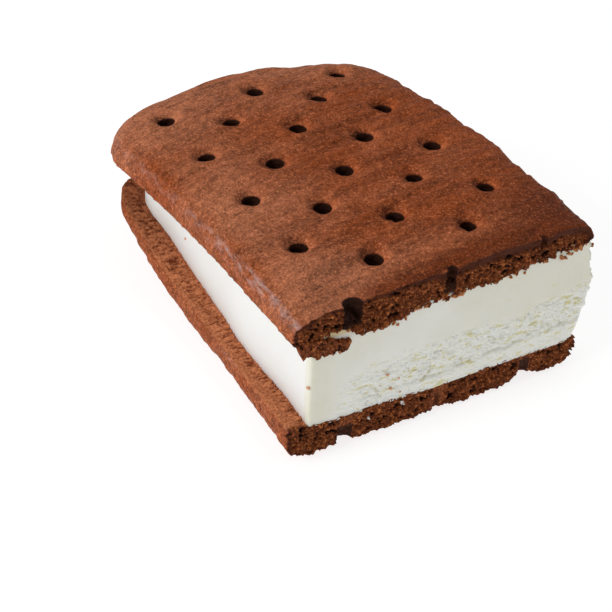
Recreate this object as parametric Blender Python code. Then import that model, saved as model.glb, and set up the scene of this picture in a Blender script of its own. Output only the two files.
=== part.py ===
"""Half of an ice cream sandwich, cut across with a knife and lying on its lower wafer.

Three solids: a docked chocolate wafer, a slab of vanilla ice cream and a second docked wafer. X runs
across the sandwich, Y from the cut to the closed end, and Z up. The origin is under the middle of it.
"""

import math
from collections import namedtuple

import bmesh
import bpy

MM = 0.001

# Plan of each layer. The cut is flat and the two far corners are round. The far edge bows outward by
# bow and reaches further on the left by skew, and the right side bows outward by side_bow.
Plan = namedtuple("Plan", "left right cut far corner bow skew side_bow")
TOP_PLAN = Plan(-27.5 * MM, 24.3 * MM, -33.1 * MM, 31.5 * MM, 9.5 * MM, 1.6 * MM, 0.7 * MM, 0.8 * MM)
LOWER_PLAN = Plan(-27.0 * MM, 26.3 * MM, -33.1 * MM, 27.6 * MM, 5.0 * MM, 1.4 * MM, 0.0, 0.0)
CREAM_PLAN = Plan(-23.8 * MM, 24.8 * MM, -32.9 * MM, 25.4 * MM, 6.5 * MM, 1.6 * MM, 0.0, 0.0)

# Heights.
TOP_HEIGHT = 27.6 * MM  # outer face of the upper wafer, half way across at the cut
TOP_TILT = 0.043  # rise of the upper wafer from left to right, as a slope
TOP_THICK = 5.0 * MM
LOWER_THICK = 5.5 * MM
LAYER_GAP = 0.3 * MM

# Droop of the upper wafer towards the closed end.
DROOP_START = -18.5 * MM
HOLE_PITCH_ALONG = 14.24 * MM
END_DROOP = 0.18 * MM  # for each squared row pitch past the start
CORNER_DROOP = 0.39 * MM  # for each row pitch, at the outer holes
EDGE_DROOP_LEFT = 0.038  # slope past the outer holes, for each row pitch
EDGE_DROOP_RIGHT = 0.0

# Rise of the lower wafer towards the closed end.
RISE_START = -3.0 * MM
RISE_RUN = 32.3 * MM
RISE_MIDDLE = 3.0 * MM
RISE_CORNER_LEFT = 8.4 * MM
RISE_CORNER_RIGHT = 4.8 * MM
WAFER_HALF_WIDTH = 25.5 * MM

# Rims of the baked wafers: how far each edge is drawn in, and how far its face falls away there.
OUTER_EDGE_INSET = 1.3 * MM
INNER_EDGE_INSET = 0.5 * MM
OUTER_EDGE_FALL = 1.5 * MM
EDGE_FALL_REACH = 5.5 * MM
SURFACE_WAVE = 0.15 * MM
WAVE_LENGTH = 19.0 * MM

# Docker holes: a staggered grid, in rows of three and of two holes, counted from the closed end.
HOLE_PITCH_ACROSS = 16.5 * MM
HOLE_MIDDLE_X = -2.0 * MM
FIRST_HOLE_ROW = 24.2 * MM
HOLE_ROWS = 9
HOLE_RADIUS = 1.2 * MM
FUNNEL_RADIUS = 2.0 * MM
FUNNEL_DEPTH = 0.9 * MM
HOLE_FLOOR = 0.9 * MM  # wafer left under each hole
HOLE_SIDES = 10
PIN_STAND_OUT = 2.0 * MM  # how far a cutter stands out of the wafer

# Ice cream.
CREAM_BULGE_RIGHT = 2.4 * MM
CREAM_BULGE_LEFT = 0.4 * MM
CREAM_BULGE_FAR = 2.2 * MM
CUT_WAVE = 0.2 * MM
CUT_WAVE_LENGTH = 11.0 * MM

# Cells of each solid's skin: across, along and up.
WAFER_CELLS = (14, 18, 4)
CREAM_CELLS = (16, 20, 6)
CORNER_SHARE = 0.72  # share of the rows that lie before the round corners
SHARP_ANGLE = math.radians(45)


def mix(start, end, share):
    return start + (end - start) * share


def clamp(value, low=0.0, high=1.0):
    return max(low, min(high, value))


def gather_to_ends(share):
    """Evenly spaced shares moved towards 0 and 1, so that the rounded rims get more rows."""
    return mix(share, (1 - math.cos(math.pi * share)) / 2, 0.7)


def plan_point(plan, across, along, inset):
    """The plan's point at two shares of its width and length, with its three baked sides drawn in."""
    corner = plan.corner - inset
    corner_start = plan.far - inset - corner
    if along < CORNER_SHARE:
        y = mix(plan.cut, corner_start, along / CORNER_SHARE)
        narrowing = 0.0
    else:
        turn = math.pi / 2 * (along - CORNER_SHARE) / (1 - CORNER_SHARE)
        y = corner_start + corner * math.sin(turn)
        narrowing = corner * (1 - math.cos(turn))
    x = mix(plan.left + inset + narrowing, plan.right - inset - narrowing, across)
    off_middle = (2 * x - plan.left - plan.right) / (plan.right - plan.left)
    far_share = clamp(y / plan.far) ** 2
    x += plan.side_bow * clamp(off_middle) ** 2 * math.sin(math.pi * along)
    return x, y + far_share * (plan.bow * (1 - off_middle**2) - plan.skew * off_middle)


def top_face(x, y):
    """Height of the upper wafer's outer face, without its rims."""
    rows_in = max(0.0, (y - DROOP_START) / HOLE_PITCH_ALONG)
    from_middle = abs(x - HOLE_MIDDLE_X)
    inner = min(from_middle, HOLE_PITCH_ACROSS) / HOLE_PITCH_ACROSS
    past_holes = max(0.0, from_middle - HOLE_PITCH_ACROSS)
    edge_slope = EDGE_DROOP_LEFT if x < HOLE_MIDDLE_X else EDGE_DROOP_RIGHT
    droop = END_DROOP * rows_in**2 + (CORNER_DROOP * inner**2 + edge_slope * past_holes) * rows_in
    return TOP_HEIGHT + TOP_TILT * x - droop


def lower_face(x, y):
    """Height of the lower wafer's outer face, which is flat where the sandwich rests."""
    along = max(0.0, (y - RISE_START) / RISE_RUN)
    corner_rise = RISE_CORNER_LEFT if x < 0 else RISE_CORNER_RIGHT
    return (RISE_MIDDLE + corner_rise * (x / WAFER_HALF_WIDTH) ** 2) * along**2


def edge_distance(plan, x, y):
    """Distance in from the nearest baked side, measured square to it."""
    return max(0.0, min(x - plan.left, plan.right - x, plan.far + plan.bow - y))


def rim_inset(outwards):
    """How far a wafer's side is drawn in, from its inner face (0) to its outer face (1)."""
    outer = OUTER_EDGE_INSET * clamp((outwards - 0.5) / 0.5) ** 2
    inner = INNER_EDGE_INSET * clamp((0.25 - outwards) / 0.25)
    return outer + inner


def rim_fall(plan, x, y):
    closeness = clamp(1 - edge_distance(plan, x, y) / EDGE_FALL_REACH)
    return OUTER_EDGE_FALL * closeness**2


def top_wafer_point(across, along, up):
    x, y = plan_point(TOP_PLAN, gather_to_ends(across), along, rim_inset(up))
    wave = SURFACE_WAVE * math.sin(2 * math.pi * y / WAVE_LENGTH + across)
    fall = (rim_fall(TOP_PLAN, x, y) + wave) * up
    return x, y, top_face(x, y) - TOP_THICK * (1 - up) - fall


def lower_wafer_point(across, along, up):
    x, y = plan_point(LOWER_PLAN, gather_to_ends(across), along, rim_inset(1 - up))
    fall = rim_fall(LOWER_PLAN, x, y) * (1 - up)
    return x, y, lower_face(x, y) + LOWER_THICK * up + fall


def cream_point(across, along, up):
    x, y = plan_point(CREAM_PLAN, gather_to_ends(across), along, 0.0)
    belly = math.sin(math.pi * up)
    bulge = CREAM_BULGE_RIGHT if across > 0.5 else -CREAM_BULGE_LEFT
    x += bulge * belly * abs(2 * across - 1) ** 6
    y += CREAM_BULGE_FAR * belly * along**8
    y += CUT_WAVE * belly * (1 - along) ** 8 * math.sin(2 * math.pi * x / CUT_WAVE_LENGTH)
    bottom = lower_face(x, y) + LOWER_THICK + LAYER_GAP
    top = top_face(x, y) - TOP_THICK - LAYER_GAP
    return x, y, mix(bottom, top, up)


def closed_skin(name, cells, point):
    """A closed skin of a block of cells, each corner put where point() places its three shares."""
    skin = bmesh.new()
    corners = {}

    def corner(step):
        if step not in corners:
            shares = [count_in / count for count_in, count in zip(step, cells)]
            corners[step] = skin.verts.new(point(*shares))
        return corners[step]

    for axis in range(3):
        first, second = (axis + 1) % 3, (axis + 2) % 3
        for side in (0, cells[axis]):
            for i in range(cells[first]):
                for j in range(cells[second]):
                    square = []
                    for di, dj in ((0, 0), (1, 0), (1, 1), (0, 1)):
                        step = [0, 0, 0]
                        step[axis], step[first], step[second] = side, i + di, j + dj
                        square.append(corner(tuple(step)))
                    skin.faces.new(square if side else square[::-1])
    mesh = bpy.data.meshes.new(name)
    skin.to_mesh(mesh)
    skin.free()
    return mesh


def hole_centres(plan):
    """The staggered docker holes that lie inside a plan or are halved by its cut."""
    for row in range(HOLE_ROWS):
        y = FIRST_HOLE_ROW - row * HOLE_PITCH_ALONG / 2
        places = (-1, 0, 1) if row % 2 == 0 else (-0.5, 0.5)
        for place in places:
            x = HOLE_MIDDLE_X + place * HOLE_PITCH_ACROSS
            if y < plan.far - FUNNEL_RADIUS:
                yield x, y


def pin_cutter(name, plan, face, thickness, outwards):
    """One cutter for all the docker holes of a wafer; outwards is 1 for an upper face, -1 for a lower."""
    pins = bmesh.new()
    profile = (
        (FUNNEL_RADIUS, PIN_STAND_OUT),
        (FUNNEL_RADIUS, 0.0),
        (HOLE_RADIUS, -FUNNEL_DEPTH),
        (HOLE_RADIUS, HOLE_FLOOR - thickness),
    )
    for x, y in hole_centres(plan):
        rings = []
        for radius, depth in profile:
            ring = []
            for side in range(HOLE_SIDES):
                angle = 2 * math.pi * side / HOLE_SIDES
                z = face(x, y) + outwards * depth
                ring.append(pins.verts.new((x + radius * math.cos(angle), y + radius * math.sin(angle), z)))
            rings.append(ring)
        pins.faces.new(rings[0])
        pins.faces.new(rings[-1][::-1])
        for upper, lower in zip(rings, rings[1:]):
            for side in range(HOLE_SIDES):
                after = (side + 1) % HOLE_SIDES
                pins.faces.new((upper[after], upper[side], lower[side], lower[after]))
    bmesh.ops.recalc_face_normals(pins, faces=pins.faces)
    mesh = bpy.data.meshes.new(name)
    pins.to_mesh(mesh)
    pins.free()
    cutter = bpy.data.objects.new(name, mesh)
    bpy.context.scene.collection.objects.link(cutter)
    cutter.hide_render = True
    cutter.display_type = "WIRE"
    return cutter


def food_material(name, colour, roughness):
    material = bpy.data.materials.new(name)
    material.use_nodes = True
    shader = material.node_tree.nodes["Principled BSDF"]
    shader.inputs["Base Color"].default_value = (*colour, 1.0)
    shader.inputs["Roughness"].default_value = roughness
    shader.inputs["Metallic"].default_value = 0.0
    return material


def add_layer(name, cells, point, material):
    mesh = closed_skin(name, cells, point)
    mesh.materials.append(material)
    mesh.shade_smooth()
    mesh.set_sharp_from_angle(angle=SHARP_ANGLE)
    layer = bpy.data.objects.new(name, mesh)
    bpy.context.scene.collection.objects.link(layer)
    return layer


def dock(layer, cutter):
    """Presses the pins' holes into a wafer."""
    holes = layer.modifiers.new("docker_holes", "BOOLEAN")
    holes.operation = "DIFFERENCE"
    holes.object = cutter


def build():
    for old in list(bpy.data.objects):
        bpy.data.objects.remove(old, do_unlink=True)
    wafer = food_material("chocolate_wafer", (0.165, 0.047, 0.022), 0.75)
    cream = food_material("vanilla_ice_cream", (0.80, 0.80, 0.75), 0.5)
    top = add_layer("wafer_top", WAFER_CELLS, top_wafer_point, wafer)
    dock(top, pin_cutter("pins_top", TOP_PLAN, top_face, TOP_THICK, 1))
    lower = add_layer("wafer_bottom", WAFER_CELLS, lower_wafer_point, wafer)
    dock(lower, pin_cutter("pins_bottom", LOWER_PLAN, lower_face, LOWER_THICK, -1))
    add_layer("ice_cream", CREAM_CELLS, cream_point, cream)


build()
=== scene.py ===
"""Half of an ice cream sandwich, cut across with a knife, on a pale table.

Two docked chocolate wafers hold a slab of vanilla ice cream. Each layer is a Geometry Nodes tree that works
out, for every place near the layer, how far that place lies outside the food, and then skins the food.
Single crumbs and specks of frost lie on the layers. Lengths inside the trees are millimetres. X runs across
the sandwich, Y from the cut to the closed end, and Z up.
"""

import math
from collections import namedtuple

import bmesh
import bpy
from mathutils import Matrix, Vector


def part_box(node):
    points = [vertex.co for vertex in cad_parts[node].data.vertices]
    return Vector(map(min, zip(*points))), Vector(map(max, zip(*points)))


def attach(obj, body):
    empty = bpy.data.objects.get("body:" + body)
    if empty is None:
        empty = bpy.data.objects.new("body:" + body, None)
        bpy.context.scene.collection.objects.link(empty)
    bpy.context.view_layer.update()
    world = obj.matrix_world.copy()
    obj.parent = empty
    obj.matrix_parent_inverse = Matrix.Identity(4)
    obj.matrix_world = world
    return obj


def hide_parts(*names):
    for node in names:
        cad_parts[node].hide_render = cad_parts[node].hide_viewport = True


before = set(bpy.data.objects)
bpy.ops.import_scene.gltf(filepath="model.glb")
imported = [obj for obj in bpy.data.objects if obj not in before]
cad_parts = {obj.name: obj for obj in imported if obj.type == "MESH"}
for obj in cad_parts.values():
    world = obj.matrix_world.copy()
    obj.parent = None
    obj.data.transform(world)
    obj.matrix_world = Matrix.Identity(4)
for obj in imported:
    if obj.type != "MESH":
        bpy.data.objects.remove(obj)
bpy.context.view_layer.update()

MM = 0.001
MOST_TRIANGLES = 190000  # in any one piece


# ---------------------------------------------------------------- arithmetic written as nodes


class Field:
    """A value that varies from place to place, worked out by a tree's own nodes."""

    def __init__(self, tree, socket):
        self.tree = tree
        self.socket = socket

    def op(self, operation, *others, kept=False):
        node = self.tree.nodes.new("ShaderNodeMath")
        node.operation = operation
        node.use_clamp = kept
        for place, value in zip(node.inputs, (self, *others)):
            feed(self.tree, value, place)
        return Field(self.tree, node.outputs[0])

    def __add__(self, other):
        return self.op("ADD", other)

    __radd__ = __add__

    def __sub__(self, other):
        return self.op("SUBTRACT", other)

    def __rsub__(self, other):
        return self.op("MULTIPLY_ADD", -1.0, other)

    def __mul__(self, other):
        return self.op("MULTIPLY", other)

    __rmul__ = __mul__

    def __truediv__(self, other):
        return self.op("DIVIDE", other)

    def __neg__(self):
        return self.op("MULTIPLY", -1.0)

    def squared(self):
        return self.op("MULTIPLY", self)

    def above(self, other):
        """The larger of the two."""
        return self.op("MAXIMUM", other)

    def below(self, other):
        """The smaller of the two."""
        return self.op("MINIMUM", other)

    def share(self):
        """The value held between 0 and 1."""
        return self.op("ADD", 0.0, kept=True)

    def size(self):
        return self.op("ABSOLUTE")

    def root(self):
        return self.op("SQRT")

    def sine(self):
        return self.op("SINE")

    def whole(self):
        return self.op("ROUND")


def feed(tree, value, place):
    if isinstance(value, Field):
        tree.links.new(value.socket, place)
    else:
        place.default_value = value


Place = namedtuple("Place", "tree vector x y z")


def place_at(tree, socket):
    """The three coordinates behind a vector socket, in millimetres."""
    apart = tree.nodes.new("ShaderNodeSeparateXYZ")
    tree.links.new(socket, apart.inputs[0])
    return Place(tree, socket, *(Field(tree, output) for output in apart.outputs))


def joined(tree, x, y, z):
    """A vector socket made from three values."""
    node = tree.nodes.new("ShaderNodeCombineXYZ")
    for value, socket in zip((x, y, z), node.inputs):
        feed(tree, value, socket)
    return node.outputs[0]


def scaled_vector(tree, socket, factors, shift=(0.0, 0.0, 0.0)):
    node = tree.nodes.new("ShaderNodeVectorMath")
    node.operation = "MULTIPLY_ADD"
    tree.links.new(socket, node.inputs[0])
    node.inputs[1].default_value = factors
    node.inputs[2].default_value = shift
    return node.outputs[0]


def stretched(place, size, stretch, seed):
    factors = [1.0 / (size * along) for along in stretch]
    shift = (seed * 7.31, seed * 3.17 + 0.4, seed * 5.73)
    return scaled_vector(place.tree, place.vector, factors, shift)


def noise(place, size, stretch=(1.0, 1.0, 1.0), seed=1, detail=1.0, roughness=0.5, twist=0.0):
    """Soft unevenness about 0, mostly within -0.5 to 0.5, with blobs about as wide as size."""
    node = place.tree.nodes.new("ShaderNodeTexNoise")
    place.tree.links.new(stretched(place, size, stretch, seed), node.inputs["Vector"])
    node.inputs["Scale"].default_value = 1.0
    node.inputs["Detail"].default_value = detail
    node.inputs["Roughness"].default_value = roughness
    node.inputs["Distortion"].default_value = twist
    return (Field(place.tree, node.outputs[0]) - 0.5) * 2.0


def bubbles(place, size, smallest, largest, stretch=(1.0, 1.0, 1.0), seed=1):
    """How deep a place lies in the nearest bubble of a foam of round holes, in millimetres."""
    node = place.tree.nodes.new("ShaderNodeTexVoronoi")
    place.tree.links.new(stretched(place, size, stretch, seed), node.inputs["Vector"])
    node.inputs["Scale"].default_value = 1.0
    chance = place_at(place.tree, node.outputs["Color"]).x
    return smallest + chance * (largest - smallest) - Field(place.tree, node.outputs["Distance"]) * size


def ease(value, start, end):
    """0 up to start, 1 from end on, and a soft slope between; start may be the larger."""
    node = value.tree.nodes.new("ShaderNodeMapRange")
    node.interpolation_type = "SMOOTHSTEP"
    feed(value.tree, value, node.inputs["Value"])
    feed(value.tree, start, node.inputs["From Min"])
    feed(value.tree, end, node.inputs["From Max"])
    return Field(value.tree, node.outputs[0])


def mixed(start, end, share):
    return start + share * (end - start)


def drawn(value, points):
    """A smooth line through given points (place, height)."""
    low, high = points[0][0], points[-1][0]
    heights = [height for _, height in points]
    floor, span = min(heights), max(heights) - min(heights)
    node = value.tree.nodes.new("ShaderNodeFloatCurve")
    line = node.mapping.curves[0]
    while len(line.points) < len(points):
        line.points.new(0.5, 0.5)
    for knot, (place, height) in zip(line.points, points):
        knot.location = ((place - low) / (high - low), (height - floor) / span)
    node.mapping.update()
    feed(value.tree, ((value - low) / (high - low)).share(), node.inputs["Value"])
    return Field(value.tree, node.outputs[0]) * span + floor


def rounded_meet(first, second, radius):
    """Where two faces meet in an outward corner of the given radius."""
    out_first, out_second = first + radius, second + radius
    inside = out_first.above(out_second).below(0.0)
    outside = (out_first.above(0.0).squared() + out_second.above(0.0).squared()).root()
    return inside + outside - radius


def soft_meet(first, second, softness):
    return first.op("SMOOTH_MAX", second, softness)


def soft_join(first, second, softness):
    return first.op("SMOOTH_MIN", second, softness)


# ---------------------------------------------------------------- sizes, in millimetres


def corners_mm(node):
    low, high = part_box(node)
    return low / MM, high / MM


TOP_LOW, TOP_HIGH = corners_mm("wafer_top")
LOWER_LOW, LOWER_HIGH = corners_mm("wafer_bottom")
CREAM_LOW, CREAM_HIGH = corners_mm("ice_cream")
CUT = TOP_LOW.y

# Plan of each layer: the cut is flat and the two far corners are round. The far side bows out by bow and
# reaches further on the left by skew; the sides bow out by right_bow and in by left_bow.
Plan = namedtuple("Plan", "left right far corner bow skew left_bow right_bow")
TOP_PLAN = Plan(left=TOP_LOW.x, right=TOP_HIGH.x - 0.5, far=TOP_HIGH.y - 1.2, corner=9.6, bow=2.5, skew=0.6,
                left_bow=0.5, right_bow=1.3)
LOWER_PLAN = Plan(left=LOWER_LOW.x, right=LOWER_HIGH.x, far=LOWER_HIGH.y - 1.6, corner=6.2, bow=1.6,
                  skew=0.0, left_bow=1.4, right_bow=0.0)

# The upper wafer's outer face tilts up to the right and droops past DROOP_START, counted in holes' rows.
TOP_HEIGHT = TOP_HIGH.z - 0.94  # half way across, at the cut
TOP_TILT = 0.043
TOP_THICK = 5.0
DROOP_START = -18.5
END_DROOP = 0.18
CORNER_DROOP = 0.39
EDGE_DROOP_LEFT = 0.038
EDGE_DROOP_RIGHT = 0.03
TOP_RIM_WIDTH = 6.5
TOP_RIM_FALL = 1.6
TOP_DIMPLE = 0.8

# The lower wafer lies flat and curves up past RISE_START.
LOWER_THICK = 5.5
RISE_START = -3.0
RISE_RUN = 32.3
RISE_MIDDLE = 3.0
RISE_CORNER_LEFT = 6.2
RISE_CORNER_RIGHT = 4.8
WAFER_HALF_WIDTH = 25.5
LOWER_RIM_WIDTH = 5.5
LOWER_RIM_RISE = 1.5
LOWER_DIMPLE = 0.5

# Docker holes stand in staggered rows of three and of two, counted from the closed end.
ROW_PITCH = 7.15
FIRST_HOLE_ROW = 24.85
LAST_HOLE_ROW = 8
LAST_ROW_NEARER = 0.6
HOLE_PITCH_ACROSS = 16.5
HOLE_MIDDLE = -1.5
LOWER_HOLE_MIDDLE = -0.4
HOLE_LEAN = 0.006
HOLE_RADIUS = 1.35
MOUTH_FLARE = 0.2
HOLE_FLOOR = 0.9  # wafer left under each hole
HOLE_SOFTNESS = 0.3
LIT_SIDE_SHIFT = (0.75, -0.45)  # from a hole's middle towards the side of its rim painted lighter, as if lit
LIT_SIDE_REACH = 0.87

# The knife halved the last row: extra radius at each place across, and how much higher those floors lie.
CutRow = namedtuple("CutRow", "extra_radius floor_rise")
TOP_CUT_ROW = CutRow(((-27.0, 0.1), (-18.0, 0.1), (-2.0, -0.5), (14.5, -0.8), (27.0, -0.9)), 1.3)
LOWER_CUT_ROW = CutRow(((-27.0, -0.2), (-17.0, -0.2), (-0.4, -0.9), (16.0, -0.5), (27.0, -0.5)), 1.6)
CUT_ROW_END = 3.2  # how far behind the cut the halved holes reach
CUT_SOFTNESS = 0.15
RELIEF_REACH = 3.2  # how far behind the cut the torn crumb reaches
MARK_REACH = 0.6  # and how far its mark for the finish reaches

# The torn tongue of wafer: where it starts, its length across, its fall and its half thickness.
TONGUE_LEFT = -25.0
TONGUE_LENGTH = 5.7
TONGUE_HEIGHT = 21.2
TONGUE_FALL = 0.95
TONGUE_RADIUS = 1.35

# Lines drawn through given points: the upper wafer's thickness and the groove's height, each along X, and
# the X of the pressed line and of the ice cream's left side, along Y, and of its right side, along Z.
TOP_THICK_AT_CUT = ((-27.0, 4.4), (-19.2, 3.9), (-17.4, 5.4), (-13.5, 5.95), (-10.0, 5.7), (-5.0, 5.0),
                    (2.0, 4.8), (8.0, 4.9), (14.0, 4.3), (19.0, 4.2), (24.5, 3.9))
PRESSED_LINE = ((-33.0, -23.4), (-20.0, -23.2), (-5.0, -23.3), (10.0, -23.7), (26.0, -23.9))
GROOVE_LINE = ((-27.0, 7.4), (-14.0, 8.0), (-4.0, 7.7), (4.0, 8.2), (12.0, 8.5), (27.0, 9.6))
CREAM_LEFT_LINE = ((-33.1, -23.75), (-23.0, -22.95), (-12.0, -22.8), (-2.0, -21.9), (13.0, -21.5),
                   (24.0, -22.4), (33.0, -20.0))
CREAM_RIGHT_LINE = ((5.5, 24.7), (7.5, 25.7), (10.5, 26.5), (15.4, 26.9), (20.0, 25.9), (25.5, 24.2))
CREAM_END = 26.6
CREAM_END_BOW = 1.6
STREAK_SLANT = 0.21

# Single crumbs and specks of frost: a place and a half width.
CRUMB_SPOTS = (
    (-10.5, CUT, 11.1, 0.2), (-8.3, CUT, 9.6, 0.18), (-9.5, CUT + 0.1, 8.0, 0.22), (-7.7, CUT, 6.7, 0.18),
    (-11.4, CUT + 0.1, 9.2, 0.12), (-23.95, CUT + 0.35, 13.4, 0.22), (-21.75, 9.2, 11.1, 0.22),
    (25.1, CUT + 0.4, 23.4, 0.3), (-0.7, CUT, 22.45, 0.42), (-0.2, CUT, 22.1, 0.3), (0.5, CUT, 22.4, 0.45),
    (1.2, CUT, 22.7, 0.3), (-1.9, CUT, 21.8, 0.16), (15.7, CUT, 23.6, 0.4), (16.3, CUT, 23.2, 0.22),
    (19.2, CUT, 23.1, 0.42), (19.9, CUT, 22.8, 0.25), (20.4, CUT, 23.4, 0.36), (21.7, CUT, 23.9, 0.5),
    (22.5, CUT, 24.2, 0.45), (23.5, CUT, 24.5, 0.34), (-8.9, CUT, 21.3, 0.3), (-5.1, CUT, 22.1, 0.4),
    (9.6, CUT, 22.5, 0.3), (-19.6, CUT - 0.2, 18.9, 0.24),
)
ICE_SPOTS = ((-7.3, CUT - 0.25, 4.7, 0.24), (-13.1, CUT - 0.3, 3.9, 0.26), (-6.9, CUT - 0.3, 4.2, 0.14))


# ---------------------------------------------------------------- faces and docker holes


def plan_out(p, plan):
    """How far a place lies outside a layer's three baked sides."""
    middle = (plan.left + plan.right) / 2
    half = (plan.right - plan.left) / 2
    across = (p.x - middle) / half
    belly = ((p.y - CUT) * (math.pi / (plan.far - CUT))).sine()
    shift = (across.above(0.0).below(1.0).squared() * plan.right_bow
             + (-across).above(0.0).below(1.0).squared() * plan.left_bow) * belly
    reach = (p.y / plan.far).share().squared() * ((1 - across.squared()) * plan.bow - across * plan.skew)
    return rounded_meet((p.x - shift - middle).size() - half, p.y - reach - plan.far, plan.corner)


def top_face(p):
    """Height of the upper wafer's outer face, without its rims."""
    rows_in = ((p.y - DROOP_START) / (2 * ROW_PITCH)).above(0.0)
    from_middle = (p.x - HOLE_MIDDLE).size()
    inner = (from_middle / HOLE_PITCH_ACROSS).below(1.0)
    past_left = (HOLE_MIDDLE - HOLE_PITCH_ACROSS - p.x).above(0.0)
    past_right = (p.x - HOLE_MIDDLE - HOLE_PITCH_ACROSS).above(0.0)
    across = inner.squared() * CORNER_DROOP + past_left * EDGE_DROOP_LEFT + past_right * EDGE_DROOP_RIGHT
    droop = rows_in.squared() * END_DROOP + across * rows_in
    return p.x * TOP_TILT + TOP_HEIGHT - droop


def lower_face(p):
    """Height of the lower wafer's outer face, which is flat where the sandwich rests."""
    along = ((p.y - RISE_START) / RISE_RUN).above(0.0)
    corner_rise = mixed(RISE_CORNER_LEFT, RISE_CORNER_RIGHT, ease(p.x, -4.0, 4.0))
    return ((p.x / WAFER_HALF_WIDTH).squared() * corner_rise + RISE_MIDDLE) * along.squared()


def top_under(p):
    """Height of the upper wafer's inner face; it thins towards the right at the cut."""
    thick = mixed(drawn(p.x, TOP_THICK_AT_CUT), TOP_THICK, ease(p.y, CUT + 3.0, CUT + 12.0))
    return top_face(p) - thick


def hole_axis(p, middle=HOLE_MIDDLE):
    """Distance from the nearest docker hole's middle line, in a grid about the given middle column."""
    row = ((FIRST_HOLE_ROW - p.y) / ROW_PITCH).whole().above(0.0).below(LAST_HOLE_ROW)
    odd = row.op("FLOORED_MODULO", 2.0) * 0.5
    across = (p.x - (p.y - CUT) * HOLE_LEAN - middle) / HOLE_PITCH_ACROSS
    limit = 1.0 - odd
    column = ((across - odd).whole() + odd).below(limit).above(-limit)
    off_x = (across - column) * HOLE_PITCH_ACROSS
    cut_row = (row + (1 - LAST_HOLE_ROW)).above(0.0)
    off_y = p.y - FIRST_HOLE_ROW + row * ROW_PITCH + cut_row * LAST_ROW_NEARER
    return (off_x.squared() + off_y.squared()).root()


# ---------------------------------------------------------------- what the layers share

# Each layer has a shape, which says how far a place lies outside it, and a working, which says how far each
# place of its skin is then moved to make the crumb, the tears and the baked unevenness. The working also
# stores marks for the finishes, such as the depth under the skin and the distance from a hole's middle line.

Wafer = namedtuple("Wafer", "skin under_skin from_side hole")


def flat_to_cut(p):
    """The same place brought to the cut, so that what is torn there runs straight back."""
    return p._replace(vector=joined(p.tree, p.x, 0.0, p.z))


def near_cut(p, reach):
    """1 at the cut, falling to 0 at the given depth behind it."""
    return (1 - (p.y - CUT) / reach).share().squared()


def slanted(p):
    """The place in axes turned a little, as the streaks of the baked faces run."""
    return p._replace(vector=joined(p.tree, p.x + p.y * STREAK_SLANT, p.y - p.x * STREAK_SLANT, p.z))


def in_cut_row(p):
    """1 at the halved holes and 0 behind them."""
    return ease(p.y, CUT + CUT_ROW_END, CUT + CUT_ROW_END - 0.6)


def from_hole(p, wafer, cut_row):
    """Distance from a hole's middle line, made larger where the knife left a narrower slot."""
    return wafer.hole - drawn(p.x, cut_row.extra_radius) * in_cut_row(p)


def hole_lit_side(p, hole, middle=HOLE_MIDDLE):
    """Round a docker hole, 1 on the side of the rim painted lighter as if lit and -1 on the side painted
    darker as if in shade.
    """
    nudged = p._replace(x=p.x - LIT_SIDE_SHIFT[0], y=p.y - LIT_SIDE_SHIFT[1])
    return (hole - hole_axis(nudged, middle)) / LIT_SIDE_REACH * ease(hole, 3.0, 1.5)


def hole_gap(p, wafer, above_floor, cut_row):
    """How deep a place lies in a docker hole, whose mouth flares and whose floor is closed."""
    flare = (wafer.under_skin.above(-0.5) * -4.0).op("EXPONENT") * MOUTH_FLARE
    floor = above_floor - in_cut_row(p) * cut_row.floor_rise
    return (flare + HOLE_RADIUS - from_hole(p, wafer, cut_row)).below(floor)


def crumb_relief(flat, seed):
    """How far the torn crumb of a cut wafer is set back."""
    coarse = noise(flat, 1.5, (1.4, 1.0, 0.8), seed=seed, detail=2.0, roughness=0.6, twist=0.4) * 0.6
    fine = noise(flat, 0.45, (1.3, 1.0, 0.9), seed=seed + 1, detail=2.0, roughness=0.6) * 0.95
    wide = bubbles(flat, 1.6, 0.05, 0.85, (1.5, 1.0, 0.75), seed=seed + 2).above(0.0) * 2.0
    small = bubbles(flat, 0.85, 0.1, 0.55, (1.4, 1.0, 0.8), seed=seed + 3).above(0.0) * 2.4
    return (coarse + fine + wide.above(small)).below(1.8).above(-0.5)


def skin_unevenness(p, seed):
    """Gentle swells and streaks of a baked face, most of them running across."""
    swell = noise(p, 13.0, seed=seed) * 0.9
    streak = noise(slanted(p), 2.4, (4.0, 1.0, 3.0), seed=seed + 1, detail=2.0, twist=0.6) * 0.6
    return swell + streak


def scallops(p, seed):
    return noise(p, 1.8, (1.0, 1.0, 4.0), seed=seed, detail=2.0) * 0.5


# ---------------------------------------------------------------- the upper wafer


def top_wafer_skin(p):
    """The upper wafer as baked and not yet cut or docked."""
    outside = plan_out(p, TOP_PLAN)
    closeness = (1 + outside / TOP_RIM_WIDTH).share()
    hole = hole_axis(p)
    dimple = ease(hole, 3.1, 1.0) * mixed(0.3, 1.0, ease(p.y, CUT + 2.0, CUT + 5.0))
    over = p.z - top_face(p) + closeness.squared() * TOP_RIM_FALL + dimple * TOP_DIMPLE
    rounding = mixed(mixed(0.8, 1.7, ease(p.x, -10.0, 20.0)), 2.3, ease(p.y, CUT + 1.0, CUT + 18.0))
    return Wafer(rounded_meet(outside, over, rounding), -over, -outside, hole)


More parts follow.
